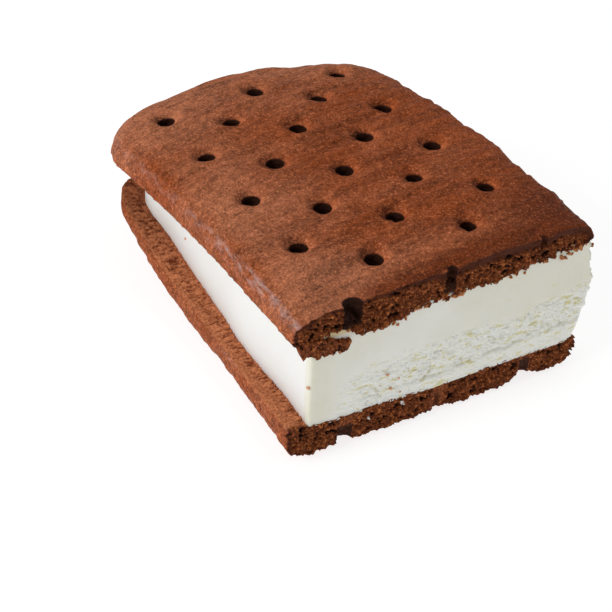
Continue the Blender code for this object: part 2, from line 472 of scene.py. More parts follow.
def flap_shape(p):
    """A torn tongue of wafer over the ice cream at the left of the cut, ended by two slanting planes."""
    along = ((p.x - TONGUE_LEFT) / TONGUE_LENGTH).share()
    off_x = p.x - (along * TONGUE_LENGTH + TONGUE_LEFT)
    off_z = p.z - (TONGUE_HEIGHT - along * TONGUE_FALL)
    off_y = (p.y - (CUT + 0.3)) * 0.75
    tongue = (off_x.squared() + off_z.squared() + off_y.squared()).root() - TONGUE_RADIUS
    tip = ((p.x + 19.4) * 0.768 - (p.z - 18.9) * 0.642).above((p.x + 20.6) * 0.332 + (p.z - 21.6) * 0.943)
    return soft_meet(soft_meet(tongue, tip, 0.3), CUT - 0.2 - p.y, 0.2)


def top_wafer_shape(p):
    wafer = top_wafer_skin(p)
    under = top_under(p)
    body = rounded_meet(wafer.skin, under - p.z, 0.8)
    body = soft_meet(body, CUT - p.y, CUT_SOFTNESS)
    body = soft_join(body, flap_shape(p), 0.25)
    return soft_meet(body, hole_gap(p, wafer, p.z - under - HOLE_FLOOR, TOP_CUT_ROW), HOLE_SOFTNESS)


def top_band(p):
    """Depth of the dense crust under the upper wafer's skin, thicker towards the right."""
    return mixed(0.45, 1.35, ease(p.x, -15.0, 8.0))


def top_wafer_worked(p, normal):
    wafer = top_wafer_skin(p)
    flat = flat_to_cut(p)
    band = top_band(p)
    crumb = ease(wafer.under_skin + noise(flat, 3.0, seed=13) * 0.6 - band, -0.3, 0.5)
    above_under = p.z - top_under(p)
    whole_edge = ease(above_under, -0.3, 0.7)
    relief = crumb_relief(flat, 15) * mixed(0.2, 1.0, crumb) * mixed(0.45, 1.0, whole_edge)
    relief = relief + (1 - crumb) * 0.1
    ragged = (noise(flat, 1.4, seed=11, detail=3.0, roughness=0.75) * 1.9 + 0.2).above(0.0)
    fringe = (1 - whole_edge) * 0.4
    back = (relief - fringe) * near_cut(p, RELIEF_REACH)
    dipped = noise(flat, 3.4, seed=14, detail=2.0) * 0.3 * near_cut(p, 2.6) * ease(above_under, 2.4, 3.8)
    down = ragged * near_cut(p, 2.2) * ease(above_under, 1.6, 0.0) + dipped
    side = ease(normal.z.size(), 0.7, 0.3) * ease(p.y - CUT, 0.3, 1.5)
    baked = skin_unevenness(p, 5) * ease(normal.z, 0.2, 0.7) * ease(above_under, 1.5, 3.0)
    out = baked + scallops(p, 3) * side * ease(above_under, 3.4, 0.6)
    hole_rag = noise(p, 1.0, seed=21) * 0.3 * ease(wafer.hole, 1.9, 1.5) * ease(wafer.under_skin, 0.2, 0.8)
    marks = {"under_skin": wafer.under_skin.below(-wafer.skin), "from_side": wafer.from_side,
             "set_back": relief * near_cut(p, MARK_REACH), "hole": from_hole(p, wafer, TOP_CUT_ROW),
             "hole_lit_side": hole_lit_side(p, wafer.hole) * (1 - in_cut_row(p))}
    return (normal.x * (out + hole_rag), normal.y * (out + hole_rag) + back, normal.z * out - down), marks


# ---------------------------------------------------------------- the lower wafer


def lower_wafer_skin(p):
    """The lower wafer as baked and not yet cut or docked."""
    outside = plan_out(p, LOWER_PLAN)
    closeness = (1 + outside / LOWER_RIM_WIDTH).share()
    hole = hole_axis(p, LOWER_HOLE_MIDDLE)
    dimple = (hole.squared() * -0.16).op("EXPONENT")
    at_cut = ease(p.y, CUT + 5.0, CUT + 2.0) * ease(p.x, 4.0, 10.0)
    right_front = ease(p.x, 12.0, 24.0) * ease(p.y, CUT + 9.0, CUT + 1.0)
    over = lower_face(p) + closeness.squared() * LOWER_RIM_RISE + dimple * (at_cut + LOWER_DIMPLE) - p.z
    return Wafer(rounded_meet(outside, over, 1.9 - right_front * 0.8), -over, -outside, hole)


def ledge_height(p):
    """Height of the lower wafer's inner face, higher at the front left corner."""
    lift = ease(p.x, -19.0, -26.0) * ease(p.y, CUT + 16.0, CUT) * 0.9
    return lower_face(p) + LOWER_THICK + lift


def ledge_marks(p):
    """Short ridges square to the edge, where the ice cream was pressed on the wafer."""
    near_line = ease((p.x - drawn(p.y, PRESSED_LINE)).size(), 2.3, 0.6)
    ridges = noise(p, 0.42, (4.0, 1.0, 4.0), seed=35, detail=2.0, roughness=0.6)
    return ridges * near_line * ease(noise(p, 2.6, seed=36, detail=2.0), -0.6, 0.0)


def lower_wafer_shape(p):
    wafer = lower_wafer_skin(p)
    inner = ledge_height(p)
    body = rounded_meet(wafer.skin, p.z - inner, 0.9)
    body = soft_meet(body, CUT - p.y, CUT_SOFTNESS)
    return soft_meet(body, hole_gap(p, wafer, inner - HOLE_FLOOR - p.z, LOWER_CUT_ROW), HOLE_SOFTNESS)


def lower_wafer_worked(p, normal):
    wafer = lower_wafer_skin(p)
    flat = flat_to_cut(p)
    below_inner = ledge_height(p) - p.z
    crumb = ease(wafer.under_skin + noise(flat, 3.0, seed=41) * 0.6, -0.1, 0.6)
    crumb = crumb * (1 - ease(wafer.hole, 1.6, 1.0))
    whole_edge = ease(below_inner, -0.2, 0.8)
    relief = crumb_relief(flat, 43) * mixed(0.2, 1.0, crumb) * mixed(0.45, 1.0, whole_edge)
    back = relief * near_cut(p, RELIEF_REACH)
    ragged = noise(flat, 1.9, seed=39, detail=3.0, roughness=0.7) * 1.2 + 0.25
    risen = ragged * near_cut(p, 2.2) * ease(wafer.under_skin, 1.6, 0.0)
    lipped = (noise(flat, 1.2, seed=40, detail=2.0, roughness=0.7) * 0.7 + 0.1).above(0.0)
    risen = risen + lipped * near_cut(p, 2.0) * ease(below_inner, 1.2, 0.0)
    ledge = ease(below_inner, 0.8, 0.2) * ease(normal.z, 0.3, 0.8) * ease(p.y - CUT, 0.1, 0.8)
    pressed = ledge_marks(p)
    up = (pressed * 0.85 + noise(p, 1.0, seed=37, detail=2.0) * 0.35) * ledge
    side = ease(normal.z.size(), 0.8, 0.3) * ease(p.y - CUT, 0.3, 1.5)
    out = scallops(p, 31) * side + skin_unevenness(p, 33) * 0.5 * ease(normal.z, -0.2, -0.7)
    marks = {"under_skin": wafer.under_skin.below(-wafer.skin), "from_side": wafer.from_side,
             "set_back": relief * near_cut(p, MARK_REACH), "hole": from_hole(p, wafer, LOWER_CUT_ROW),
             "hole_lit_side": hole_lit_side(p, wafer.hole, LOWER_HOLE_MIDDLE), "ledge": ledge,
             "pressed": pressed * ledge}
    return (normal.x * out, normal.y * out + back, normal.z * out + risen + up), marks


# ---------------------------------------------------------------- the ice cream


def cream_torn(p):
    """1 where the cut ice cream is torn in fine level ridges, 0 where the knife left it smooth."""
    level = p.z - p.x * 0.06
    edge = noise(p, 7.0, (2.0, 1.0, 1.0), seed=51, detail=2.0) * 3.0
    return ease(level + edge, 15.2, 12.2) * ease(p.x, -22.0, -12.0)


def cream_relief(p, torn):
    """How far the cut ice cream is set back."""
    ridges = noise(p, 0.7, (2.6, 1.0, 1.0), seed=53, detail=3.0, roughness=0.7, twist=0.8)
    dashes = ease(noise(p, 1.1, (3.4, 1.0, 1.0), seed=55, detail=2.0, twist=0.5).size(), 0.08, 0.0)
    tears = dashes * ease(noise(p, 2.2, (1.6, 1.0, 1.0), seed=56, detail=2.0), -0.05, 0.15)
    above_groove = p.z - (drawn(p.x, GROOVE_LINE) + noise(p, 3.0, seed=57, detail=3.0) * 0.9)
    groove = ease(above_groove.size(), 0.35, 0.0) * ease(noise(p, 6.0, seed=59), -0.25, 0.1)
    right_half = ease(p.x, -11.0, -2.0)
    under_groove = ease(above_groove, 0.1, -0.6) * right_half
    smooth = noise(p, 5.0, (1.0, 1.0, 2.5), seed=61, detail=2.0) * 0.09
    wiped = noise(p, 0.8, (1.0, 1.0, 9.0), seed=62, detail=2.0) * 0.07
    crust = noise(p, 0.36, (1.4, 1.0, 1.0), seed=63, detail=2.0) * 0.27
    rough = (ridges * 0.42 + tears * 0.35 + crust) * mixed(1.0, 0.4, under_groove)
    rough = rough + groove * mixed(0.1, 0.34, right_half) - under_groove * 0.25
    return smooth + wiped * (1 - torn) + torn * rough


def cream_shape(p):
    left = drawn(p.y, CREAM_LEFT_LINE) - (p.z - 6.0) * 0.045
    right = drawn(p.z, CREAM_RIGHT_LINE) - ease(p.y, -5.0, 28.0) * 1.6
    across = (p.x - (CREAM_LOW.x + CREAM_HIGH.x) / 2) / ((CREAM_HIGH.x - CREAM_LOW.x) / 2)
    far = (1 - across.squared()) * CREAM_END_BOW + CREAM_END
    sides = rounded_meet((left - p.x).above(p.x - right), p.y - far, 6.0)
    body = rounded_meet(sides, CUT + 0.15 - p.y, 0.7)
    body = body.above(p.z - top_under(p) - 0.1).above(ledge_height(p) - 0.3 - p.z)
    return soft_meet(body, -flap_shape(p) - 0.35, 0.1)


def cream_worked(p, normal):
    flat = flat_to_cut(p)
    torn = cream_torn(flat)
    relief = cream_relief(flat, torn)
    back = relief * near_cut(p, 2.5)
    jagged = noise(p, 1.1, (1.0, 1.6, 1.0), seed=67, detail=2.0, roughness=0.7) * 0.7
    right = ease(normal.x, 0.2, 0.6)
    soft = noise(p, 6.0, (1.0, 2.0, 1.0), seed=65) * 0.25 * ease(normal.y, -0.8, -0.5)
    out = jagged * right + soft
    marks = {"torn": torn * near_cut(p, 1.2), "set_back": relief * near_cut(p, MARK_REACH)}
    return (normal.x * out, normal.y * out + back, normal.z * out), marks


# ---------------------------------------------------------------- growing a layer


def new_tree(name, sizes):
    """An empty Geometry Nodes tree with one named input for each size, and the node that gives them."""
    tree = bpy.data.node_groups.new(name, "GeometryNodeTree")
    tree.interface.new_socket("Geometry", in_out="INPUT", socket_type="NodeSocketGeometry")
    tree.interface.new_socket("Geometry", in_out="OUTPUT", socket_type="NodeSocketGeometry")
    kinds = {int: "NodeSocketInt", float: "NodeSocketFloat", tuple: "NodeSocketVector"}
    for label, value in sizes.items():
        socket = tree.interface.new_socket(label, in_out="INPUT", socket_type=kinds[type(value)])
        socket.default_value = value
    return tree, tree.nodes.new("NodeGroupInput")


def close_tree(tree, geometry, material):
    """Ends a tree in real mesh that wears the material."""
    real = tree.nodes.new("GeometryNodeRealizeInstances")
    coat = tree.nodes.new("GeometryNodeSetMaterial")
    coat.inputs["Material"].default_value = material
    leave = tree.nodes.new("NodeGroupOutput")
    tree.links.new(geometry, real.inputs[0])
    tree.links.new(real.outputs[0], coat.inputs[0])
    tree.links.new(coat.outputs[0], leave.inputs[0])


def hang_tree(host, tree, sizes):
    """Puts the tree on an object, with its sizes filled in."""
    modifier = host.modifiers.new(tree.name, "NODES")
    modifier.node_group = tree
    entries = [item for item in tree.interface.items_tree if item.in_out == "INPUT"]
    identifiers = {item.name: item.identifier for item in entries}
    for label, value in sizes.items():
        modifier[identifiers[label]] = value


def settle(host):
    """Turns what the modifiers make into the object's own plain mesh."""
    graph = bpy.context.evaluated_depsgraph_get()
    made = bpy.data.meshes.new_from_object(host.evaluated_get(graph), preserve_all_data_layers=True,
                                           depsgraph=graph)
    host.modifiers.clear()
    host.data = made
    made.name = host.name
    return made


def count_triangles(mesh):
    return sum(len(face.vertices) - 2 for face in mesh.polygons)


def new_host(name):
    host = bpy.data.objects.new(name, bpy.data.meshes.new(name))
    bpy.context.scene.collection.objects.link(host)
    return host


def move_skin(tree, geometry, position=None, offset=None):
    node = tree.nodes.new("GeometryNodeSetPosition")
    tree.links.new(geometry, node.inputs["Geometry"])
    if position is not None:
        tree.links.new(position, node.inputs["Position"])
    if offset is not None:
        tree.links.new(offset, node.inputs["Offset"])
    return node.outputs[0]


def layer_tree(name, shape, worked, material, sizes):
    """Fills the space round a layer with cells, closest together at the cut, skins it and works the skin."""
    tree, entry = new_tree(name, sizes)
    block = tree.nodes.new("GeometryNodeVolumeCube")
    position = tree.nodes.new("GeometryNodeInputPosition").outputs[0]
    packed = place_at(tree, position)
    start = place_at(tree, entry.outputs["Lowest corner"])
    real_y = packed.y + (packed.y - start.y).squared() * Field(tree, entry.outputs["Spreading of cells"])
    spread_out = joined(tree, packed.x, real_y, packed.z)
    p = Place(tree, spread_out, packed.x, real_y, packed.z)
    tree.links.new((0.5 - shape(p)).share().socket, block.inputs["Density"])
    tree.links.new(entry.outputs["Lowest corner"], block.inputs["Min"])
    tree.links.new(entry.outputs["Highest corner"], block.inputs["Max"])
    for axis in "XYZ":
        tree.links.new(entry.outputs["Cells " + axis], block.inputs["Resolution " + axis])
    skin = tree.nodes.new("GeometryNodeVolumeToMesh")
    skin.inputs["Threshold"].default_value = 0.5
    tree.links.new(block.outputs[0], skin.inputs["Volume"])
    geometry = move_skin(tree, skin.outputs[0], position=spread_out)
    p = place_at(tree, position)
    normal = place_at(tree, tree.nodes.new("GeometryNodeInputNormal").outputs[0])
    offset, marks = worked(p, normal)
    for label, value in marks.items():
        store = tree.nodes.new("GeometryNodeStoreNamedAttribute")
        store.inputs["Name"].default_value = label
        tree.links.new(geometry, store.inputs["Geometry"])
        tree.links.new(value.socket, store.inputs["Value"])
        geometry = store.outputs[0]
    geometry = move_skin(tree, geometry, offset=joined(tree, *offset))
    geometry = move_skin(tree, geometry, position=scaled_vector(tree, position, (MM, MM, MM)))
    close_tree(tree, geometry, material)
    return tree


def grow_layer(name, shape, worked, material, low, high, cells, first_cell, length):
    """A layer's finished mesh. Its cells are first_cell deep at the cut and grow evenly towards the end."""
    packed = first_cell * cells[1]
    sizes = {
        "Lowest corner": tuple(low),
        "Highest corner": (high[0], low[1] + packed, high[1]),
        "Spreading of cells": (length - packed) / packed**2,
        "Cells X": cells[0],
        "Cells Y": cells[1],
        "Cells Z": cells[2],
    }
    host = new_host(name)
    hang_tree(host, layer_tree(name, shape, worked, material, sizes), sizes)
    grown = settle(host)
    thin = host.modifiers.new("thin_flat_parts", "DECIMATE")
    thin.ratio = min(1.0, MOST_TRIANGLES / count_triangles(grown))
    settle(host).shade_smooth()
    return host


# ---------------------------------------------------------------- loose crumbs and specks


def node_input(node, identifier):
    return next(socket for socket in node.inputs if socket.identifier == identifier)


def random_three(tree, low, high, seed):
    node = tree.nodes.new("FunctionNodeRandomValue")
    node.data_type = "FLOAT_VECTOR"
    node_input(node, "Min").default_value = low
    node_input(node, "Max").default_value = high
    node_input(node, "Seed").default_value = seed
    return node.outputs[0]


def crumb_lump(tree, seed):
    """One uneven lump of unit half width."""
    ball = tree.nodes.new("GeometryNodeMeshIcoSphere")
    ball.inputs["Subdivisions"].default_value = 2
    position = tree.nodes.new("GeometryNodeInputPosition").outputs[0]
    p = place_at(tree, position)
    swelling = noise(p, 1.1, seed=seed, detail=2.0, roughness=0.7) * 1.5
    offset = joined(tree, p.x * swelling, p.y * swelling, p.z * swelling)
    return move_skin(tree, ball.outputs[0], offset=offset)


def strew(tree, points, seed, size):
    """Lumps at the points, each turned and sized by chance about the given half width in millimetres."""
    place = tree.nodes.new("GeometryNodeInstanceOnPoints")
    tree.links.new(points, place.inputs["Points"])
    tree.links.new(crumb_lump(tree, seed), place.inputs["Instance"])
    tree.links.new(random_three(tree, (0.0,) * 3, (2 * math.pi,) * 3, seed), place.inputs["Rotation"])
    chance = place_at(tree, random_three(tree, (0.6,) * 3, (1.3,) * 3, seed + 1))
    half = size * MM
    tree.links.new(joined(tree, chance.x * half, chance.y * half, chance.z * half), place.inputs["Scale"])
    return place.outputs[0]


def crumb_zone(p):
    """How thickly crumbs lie on the ice cream: in patches just under the upper wafer, at the cut."""
    drop = top_under(p) - p.z
    at_cut = ease(p.y, CUT + 1.2, CUT + 0.6)
    patches = ease(noise(p, 3.0, seed=103, detail=2.0), -0.05, 0.2)
    return ease(drop, 0.8, 0.0) * at_cut * (patches * 3.2 + 0.2)


def scatter_tree(name, material, sizes):
    """Lumps spread by chance over an object's faces, where crumb_zone has them."""
    tree, entry = new_tree(name, sizes)
    position = tree.nodes.new("GeometryNodeInputPosition").outputs[0]
    p = place_at(tree, scaled_vector(tree, position, (1 / MM, 1 / MM, 1 / MM)))
    spread = tree.nodes.new("GeometryNodeDistributePointsOnFaces")
    tree.links.new(entry.outputs[0], spread.inputs["Mesh"])
    density = crumb_zone(p) * Field(tree, entry.outputs["Crumbs on a square millimetre"])
    tree.links.new((density / MM**2).socket, node_input(spread, "Density"))
    tree.links.new(entry.outputs["Seed"], spread.inputs["Seed"])
    lumps = strew(tree, spread.outputs["Points"], 105, Field(tree, entry.outputs["Half width"]))
    close_tree(tree, lumps, material)
    return tree


def stored_number(tree, label):
    """A number stored with the points that a tree is given."""
    node = tree.nodes.new("GeometryNodeInputNamedAttribute")
    node.inputs["Name"].default_value = label
    return Field(tree, node.outputs["Attribute"])


def spot_tree(name, material, seed):
    """A lump on each of an object's points."""
    tree, entry = new_tree(name, {})
    lumps = strew(tree, entry.outputs[0], seed, stored_number(tree, "half_width"))
    close_tree(tree, lumps, material)
    return tree


def spotted(name, spots, material, seed):
    """Single lumps at chosen places."""
    host = new_host(name)
    host.data.from_pydata([(x * MM, y * MM, z * MM) for x, y, z, _ in spots], [], [])
    widths = host.data.attributes.new("half_width", "FLOAT", "POINT")
    widths.data.foreach_set("value", [half for *_, half in spots])
    hang_tree(host, spot_tree(name + "_tree", material, seed), {})
    settle(host).shade_smooth()
    return host


def scattered(name, cover, material, sizes):
    """Lumps spread over another piece's skin."""
    host = new_host(name)
    host.data = cover.data.copy()
    hang_tree(host, scatter_tree(name + "_tree", material, sizes), sizes)
    settle(host).shade_smooth()
    return host


def merged(name, hosts, material):
    """One piece made of several that share a material."""
    whole = bmesh.new()
    for host in hosts:
        whole.from_mesh(host.data)
        bpy.data.objects.remove(host)
    piece = new_host(name)
    piece.data.materials.append(material)
    whole.to_mesh(piece.data)
    whole.free()
    piece.data.shade_smooth()
    return piece


# ---------------------------------------------------------------- finishes


SKIN_DEEP = (0.15, 0.031, 0.009)
SKIN_MID = (0.29, 0.063, 0.0150)
SKIN_PALE = (0.44, 0.147, 0.068)
SKIN_GRAIN = (0.52, 0.20, 0.095)
SKIN_EDGE = (0.165, 0.032, 0.006)
SKIN_BLOOM_AND_SHEEN = (0.62, 0.43, 0.40)
DENSE_BAND = (0.082, 0.020, 0.008)
HOLE_SHADE = (0.022, 0.006, 0.003)
CRUMB_PIT_SHADE = (0.014, 0.0035, 0.0015)
CRUMB_MID = (0.150, 0.036, 0.010)
CRUMB_LIGHT = (0.56, 0.172, 0.046)
LEDGE_DARK = (0.20, 0.047, 0.015)
LEDGE_LIGHT = (0.66, 0.235, 0.10)
CREAM_WHITE = (0.845, 0.855, 0.835)
CREAM_SHADE = (0.735, 0.715, 0.59)
CREAM_TORN = (0.83, 0.84, 0.79)
CREAM_YELLOW = (0.68, 0.615, 0.27)
CREAM_STAIN = (0.62, 0.47, 0.22)
LOOSE_DARK = (0.26, 0.07, 0.02)
LOOSE_LIGHT = (0.66, 0.28, 0.11)
LOOSE_PALE = (0.86, 0.44, 0.26)
FROST_DARK = (0.70, 0.66, 0.62)
FROST_LIGHT = (0.88, 0.86, 0.84)
BUMP_DEPTH = 0.2  # millimetres, of the wafers' and crumbs' fine relief
CREAM_BUMP_DEPTH = 0.1
CREAM_SCATTER_DEPTH = 1.2  # how far light spreads in the ice cream


def shader_start(name):
    """A new material with its tree, its shader and the place on the object in millimetres."""
    material = bpy.data.materials.new(name)
    material.use_nodes = True
    tree = material.node_tree
    coords = tree.nodes.new("ShaderNodeTexCoord")
    p = place_at(tree, scaled_vector(tree, coords.outputs["Object"], (1 / MM, 1 / MM, 1 / MM)))
    return material, tree, tree.nodes["Principled BSDF"], p


def stored(tree, label):
    """A mark that a layer's working stored with the mesh."""
    node = tree.nodes.new("ShaderNodeAttribute")
    node.attribute_name = label
    return Field(tree, node.outputs["Fac"])


def blended(tree, first, second, share):
    """A colour between two colours."""
    node = tree.nodes.new("ShaderNodeMix")
    node.data_type = "RGBA"
    sockets = {socket.identifier: socket for socket in node.inputs}
    for colour, socket in ((first, sockets["A_Color"]), (second, sockets["B_Color"])):
        if isinstance(colour, tuple):
            socket.default_value = (*colour, 1.0)
        else:
            tree.links.new(colour, socket)
    feed(tree, share, sockets["Factor_Float"])
    return next(socket for socket in node.outputs if socket.identifier == "Result_Color")


def shaded(tree, colour, factor):
    """The colour made lighter or darker."""
    node = tree.nodes.new("ShaderNodeVectorMath")
    node.operation = "SCALE"
    tree.links.new(colour, node.inputs[0])
    feed(tree, factor, next(socket for socket in node.inputs if socket.name == "Scale"))
    return node.outputs[0]


def bump(tree, height, shader, distance):
    node = tree.nodes.new("ShaderNodeBump")
    node.inputs["Strength"].default_value = 1.0
    node.inputs["Distance"].default_value = distance
    tree.links.new(height.socket, node.inputs["Height"])
    tree.links.new(node.outputs[0], shader.inputs["Normal"])


def finish_food(tree, shader, colour, height):
    """Matt and dry, with the height as fine relief."""
    tree.links.new(colour, shader.inputs["Base Color"])
    shader.inputs["Roughness"].default_value = 0.72
    shader.inputs["Specular IOR Level"].default_value = 0.12
    bump(tree, height, shader, BUMP_DEPTH * MM)


def wafer_finish(name, band, hole_depth, paleness, deep_corner, faintness):
    """Matt baked chocolate skin, crumb where it is cut, and a dense band under the skin.

    Of the functions, band gives that band's depth, paleness and deep_corner say where the skin is paler and
    darker, and faintness where the halved holes are less black. hole_depth is how deep the black reaches.
    """
    material, tree, shader, p = shader_start(name)
    under_skin = stored(tree, "under_skin")
    from_side = stored(tree, "from_side")
    set_back = stored(tree, "set_back")
    grain = noise(p, 0.36, seed=71, detail=2.0, roughness=0.7)
    bright = ease(grain, 0.0, 0.42)
    coarse_grain = noise(p, 0.85, (1.3, 1.0, 1.0), seed=72, detail=2.0, roughness=0.6)
    blotch = noise(p, 8.0, (1.6, 1.0, 1.0), seed=73, detail=3.0)
    streak = noise(slanted(p), 2.0, (5.0, 1.0, 1.0), seed=75, detail=3.0, twist=0.7)
    skin = blended(tree, SKIN_MID, SKIN_PALE, (paleness(p) + blotch * 0.7 + coarse_grain * 0.35).share())
    skin = blended(tree, skin, SKIN_DEEP, (deep_corner(p) + streak * 0.55 - 0.1).share())
    reach = ease(p.x, -12.0, 8.0) * 1.7 + 0.6
    edge = ease(p.y + noise(p, 2.0, seed=80) * 1.2 - CUT, reach + 4.0, reach) * ease(p.x, -22.0, -12.0)
    skin = blended(tree, skin, SKIN_EDGE, edge * 0.95)
    skin = blended(tree, skin, SKIN_GRAIN, bright * (0.3 - edge * 0.12))
    mottle = bright * 0.35 + grain * 0.75 + coarse_grain * 0.6 + streak * 0.68
    # Painted light and shade round each docker hole: its rim lighter on one side, as if lit, and darker on
    # the other.
    skin = shaded(tree, skin, mottle + stored(tree, "hole_lit_side") * 0.48 + 1.0)
    speck = noise(p, 0.45, seed=77, detail=3.0, roughness=0.75)
    # The crumb's tone varies at random; where it is set back into pits it is painted darker, as painted
    # shade.
    crumb = blended(tree, CRUMB_MID, CRUMB_LIGHT, ease(speck - set_back * 0.3, -0.05, 0.4))
    crumb = blended(tree, crumb, CRUMB_PIT_SHADE, ease(set_back - speck * 0.45, 0.12, 0.5))
    dense = blended(tree, DENSE_BAND, CRUMB_MID, ease(speck, 0.1, 0.6))
    past_band = under_skin + noise(p, 1.6, seed=79) * 0.6 - band(p)
    inside = blended(tree, dense, crumb, ease(past_band, 0.0, 0.5))
    colour = blended(tree, skin, inside, ease(under_skin, 0.1, 0.3) * ease(p.y, CUT + 2.6, CUT + 1.6))
    # Deep in the docker holes: partly darker, moister crumb, partly painted shade; weaker in the halved
    # holes at the cut, which stand open.
    in_hole = ease(stored(tree, "hole"), 1.62, 1.42) * ease(under_skin, 0.05, 0.35)
    in_hole = in_hole * ease(under_skin, hole_depth, hole_depth - 0.6)
    faint = faintness(p) * ease(p.y, CUT + 2.6, CUT + 2.0)
    colour = blended(tree, colour, HOLE_SHADE, in_hole * (0.97 - faint))
    # Pale broken streaks along the rims: partly the chocolate's own bloom, partly a painted highlight where
    # the rim bends towards the lamp.
    left_rim = ease((from_side - 0.75).size(), 0.8, 0.1) * ease(p.x, 0.0, -20.0)
    left_rim = left_rim * mixed(0.4, 1.4, ease(p.y, 8.0, -28.0))
    right_rim = ease(from_side, 2.2, 0.8) * ease(p.x, 16.0, 22.0) * ease((p.y + 25.0).size(), 6.5, 3.0)
    dust_and_sheen = ease(noise(p, 0.7, (1.0, 4.0, 1.0), seed=81, detail=3.0, roughness=0.75), -0.25, 0.6)
    bloom_and_sheen = (left_rim + right_rim) * dust_and_sheen * ease(under_skin, 0.3, 0.05) * 0.7
    colour = blended(tree, colour, SKIN_BLOOM_AND_SHEEN, bloom_and_sheen)
    return material, tree, shader, p, colour, grain


def top_wafer_finish():
    def paleness(p):
        # Paler towards the left and the far end: partly the wafer's own bloom, partly painted sheen.
        left = ease(p.x, -3.0, -20.0) * (0.85 - ease(p.y, -2.0, 14.0) * 0.3) - ease(p.x, -23.5, -26.5) * 0.6
        return left + ease(p.y, 8.0, 32.0) * 0.75 + ease(p.y, -20.0, -31.0) * 0.35

    def deep_corner(p):
        return ease(p.x, 4.0, 22.0) * ease(p.y, -12.0, -30.0) * 1.15

    def faintness(p):
        return ease(p.x, 6.0, 10.0) * 0.6 + ease((p.x + 1.5).size(), 5.0, 3.0) * 0.12

    material, tree, shader, p, colour, grain = wafer_finish("baked_wafer_top", top_band, 4.2, paleness,
                                                            deep_corner, faintness)
    finish_food(tree, shader, colour, grain * 0.7 + noise(p, 0.8, seed=83, detail=1.0) * 0.5)
    return material


def lower_wafer_finish():
    def paleness(p):
        return ease(p.y, 26.0, -10.0) * 0.2

    def deep_corner(p):
        return ease(p.x, -20.0, -10.0) * 0.4 + 0.1

    def band(p):
        return 0.1 + ease(p.x, -20.0, -26.0) * 0.3

    def faintness(p):
        return ease((p.x + 0.4).size(), 5.0, 3.0) * 0.5 + 0.12

    material, tree, shader, p, colour, grain = wafer_finish("baked_wafer_lower", band, 3.6, paleness,
                                                            deep_corner, faintness)
    pressed = stored(tree, "pressed")
    ledge_tone = blended(tree, LEDGE_DARK, LEDGE_LIGHT, (pressed * 2.6 + grain * 1.3 + 0.6).share())
    ledge_tone = shaded(tree, ledge_tone, 1 - ease(p.y, 8.0, 24.0) * 0.35)
    colour = blended(tree, colour, ledge_tone, stored(tree, "ledge"))
    # A pale broken streak on the edge between the side and the ledge: partly flour and bloom, partly a
    # painted highlight.
    on_edge = ease((p.x + 26.3).size(), 0.7, 0.1) * ease((p.y + 12.5).size(), 7.5, 2.0) * ease(p.z, 4.4, 5.6)
    flour_and_highlight = ease(noise(p, 0.7, (1.0, 3.0, 1.0), seed=87, detail=3.0, roughness=0.7), -0.15, 0.2)
    colour = blended(tree, colour, SKIN_BLOOM_AND_SHEEN, on_edge * flour_and_highlight * 0.9)
    finish_food(tree, shader, colour, grain * 0.7 + noise(p, 0.8, seed=85, detail=1.0) * 0.5)
    return material


def cream_finish():
    """Frozen vanilla: smooth and white at the sides, a little yellow in the tears of the cut."""
    material, tree, shader, p = shader_start("frozen_vanilla")
    torn = stored(tree, "torn")
    on_cut = ease(p.y - CUT, 2.0, 0.4)
    cloud = noise(p, 8.0, seed=91, detail=3.0)
    shade = on_cut * (0.55 + cloud * 0.5 + ease(p.x, -5.0, 15.0) * 0.35)
    colour = blended(tree, CREAM_WHITE, CREAM_SHADE, shade)
    colour = blended(tree, colour, CREAM_TORN, torn * on_cut)
    recess = ease(stored(tree, "set_back"), 0.08, 0.26)
    dashes = ease(noise(p, 0.9, (2.8, 1.0, 1.0), seed=96, detail=3.0, roughness=0.7), 0.10, 0.24)
    wedge = ease(p.z, 21.2, 21.9) * ease(p.x, -16.5, -18.5) * on_cut
    colour = blended(tree, colour, CREAM_STAIN, wedge * 0.8)
    smear = ease(noise(p, 1.6, (2.4, 1.0, 0.8), seed=93, detail=3.0), 0.24, 0.36)
    smear = smear * ease(p.x, 6.0, 16.0) * ease((p.z - 15.5).size(), 3.5, 1.5) * 0.7
    corner = ease(p.x + noise(p, 2.0, (1.0, 1.0, 4.0), seed=94) * 1.5, -18.5, -22.0) * 0.12
    yellow = ((recess * 0.7 + dashes * 0.95) * torn + smear + corner).share()
    colour = blended(tree, colour, CREAM_YELLOW, yellow * on_cut)
    tree.links.new(colour, shader.inputs["Base Color"])
    shader.inputs["Roughness"].default_value = 0.5
    shader.inputs["Specular IOR Level"].default_value = 0.3
    shader.inputs["Subsurface Weight"].default_value = 0.5
    shader.inputs["Subsurface Radius"].default_value = (1.0, 0.95, 0.8)
    shader.inputs["Subsurface Scale"].default_value = CREAM_SCATTER_DEPTH * MM
    bump(tree, noise(p, 0.5, seed=95, detail=2.0) * (0.25 + torn * 0.5), shader, CREAM_BUMP_DEPTH * MM)
    return material


def crumb_finish():
    material, tree, shader, p = shader_start("loose_crumb")
    tone = (noise(p, 0.35, seed=111, detail=2.0) * 1.2 + 0.55).share()
    colour = blended(tree, LOOSE_DARK, LOOSE_LIGHT, tone)
    finish_food(tree, shader, blended(tree, colour, LOOSE_PALE, ease(p.z, 16.0, 14.0)), tone)
    return material


def ice_speck_finish():
    material, tree, shader, p = shader_start("ice_speck")
    tone = (noise(p, 0.3, seed=113) + 0.5).share()
    finish_food(tree, shader, blended(tree, FROST_DARK, FROST_LIGHT, tone), tone)
    return material


# ---------------------------------------------------------------- the studio


